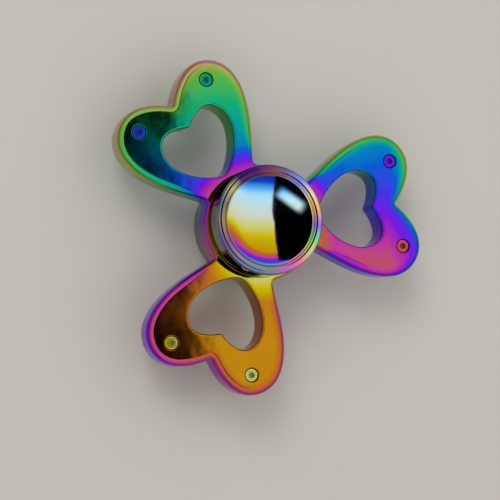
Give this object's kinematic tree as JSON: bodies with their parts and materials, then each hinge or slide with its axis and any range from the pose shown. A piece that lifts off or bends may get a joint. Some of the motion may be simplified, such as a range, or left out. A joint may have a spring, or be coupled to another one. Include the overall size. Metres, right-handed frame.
{
  "type": "fidget spinner",
  "caption": "Hand spinner whose open heart-shaped wings, cast with their hub, turn on a shielded ball bearing between dished screw-together finger caps, all mirror bright in rainbow plating.",
  "frame": {"origin": "the middle of the bearing, on the spin axis", "axes": "+Z along the spin axis and out of the front cap, +Y along the centre line of one wing, +X to its right"},
  "size_m": [0.077, 0.0686, 0.02],
  "materials": {
    "rotor_plating": "mirror-polished casting with a thin coloured film running from gold through rose, violet and blue to green",
    "cap_plating": "mirror-polished, with the same coloured film in bands",
    "screw_plating": "bright, with the same coloured film",
    "ring_steel": "ground bearing steel",
    "ball_steel": "polished bearing steel",
    "shield_steel": "pressed sheet, satin",
    "cage_nylon": "moulded, dull"
  },
  "bodies": {
    "finger_caps": {"front_cap": "cap_plating", "back_cap": "cap_plating", "bearing_inner_ring": "ring_steel"},
    "rotor": {"rotor_body": "rotor_plating", "lobe_screw_1": "screw_plating", "lobe_screw_2": "screw_plating", "lobe_screw_3": "screw_plating", "lobe_screw_4": "screw_plating", "lobe_screw_5": "screw_plating", "lobe_screw_6": "screw_plating", "bearing_outer_ring": "ring_steel", "front_shield": "shield_steel", "back_shield": "shield_steel", "front_shield_clip": "ring_steel", "back_shield_clip": "ring_steel"},
    "cage": {"ball_cage": "cage_nylon"},
    "ball_1": {"bearing_ball_1": "ball_steel"},
    "ball_2": {"bearing_ball_2": "ball_steel"},
    "ball_3": {"bearing_ball_3": "ball_steel"},
    "ball_4": {"bearing_ball_4": "ball_steel"},
    "ball_5": {"bearing_ball_5": "ball_steel"},
    "ball_6": {"bearing_ball_6": "ball_steel"},
    "ball_7": {"bearing_ball_7": "ball_steel"}
  },
  "joints": [
    {"name": "rotor_spin", "type": "hinge", "parent": "finger_caps", "child": "rotor", "pos_m": [0, 0, 0], "axis": [0, 0, 1], "continuous": true},
    {"name": "cage_spin", "type": "hinge", "parent": "finger_caps", "child": "cage", "pos_m": [0, 0, 0], "axis": [0, 0, 1], "continuous": true},
    {"name": "ball_1_roll", "type": "hinge", "parent": "cage", "child": "ball_1", "pos_m": [0, 0.0075, 0], "axis": [0, 0, 1], "continuous": true},
    {"name": "ball_2_roll", "type": "hinge", "parent": "cage", "child": "ball_2", "pos_m": [-0.00586, 0.00468, 0], "axis": [0, 0, 1], "continuous": true},
    {"name": "ball_3_roll", "type": "hinge", "parent": "cage", "child": "ball_3", "pos_m": [-0.00731, -0.00167, 0], "axis": [0, 0, 1], "continuous": true},
    {"name": "ball_4_roll", "type": "hinge", "parent": "cage", "child": "ball_4", "pos_m": [-0.00325, -0.00676, 0], "axis": [0, 0, 1], "continuous": true},
    {"name": "ball_5_roll", "type": "hinge", "parent": "cage", "child": "ball_5", "pos_m": [0.00325, -0.00676, 0], "axis": [0, 0, 1], "continuous": true},
    {"name": "ball_6_roll", "type": "hinge", "parent": "cage", "child": "ball_6", "pos_m": [0.00731, -0.00167, 0], "axis": [0, 0, 1], "continuous": true},
    {"name": "ball_7_roll", "type": "hinge", "parent": "cage", "child": "ball_7", "pos_m": [0.00586, 0.00468, 0], "axis": [0, 0, 1], "continuous": true}
  ],
  "couplings": [
    {"joint": "cage_spin", "follows": "rotor_spin", "ratio": 0.6323},
    {"joint": "ball_1_roll", "follows": "rotor_spin", "ratio": 1.7573},
    {"joint": "ball_2_roll", "follows": "rotor_spin", "ratio": 1.7573},
    {"joint": "ball_3_roll", "follows": "rotor_spin", "ratio": 1.7573},
    {"joint": "ball_4_roll", "follows": "rotor_spin", "ratio": 1.7573},
    {"joint": "ball_5_roll", "follows": "rotor_spin", "ratio": 1.7573},
    {"joint": "ball_6_roll", "follows": "rotor_spin", "ratio": 1.7573},
    {"joint": "ball_7_roll", "follows": "rotor_spin", "ratio": 1.7573}
  ]
}
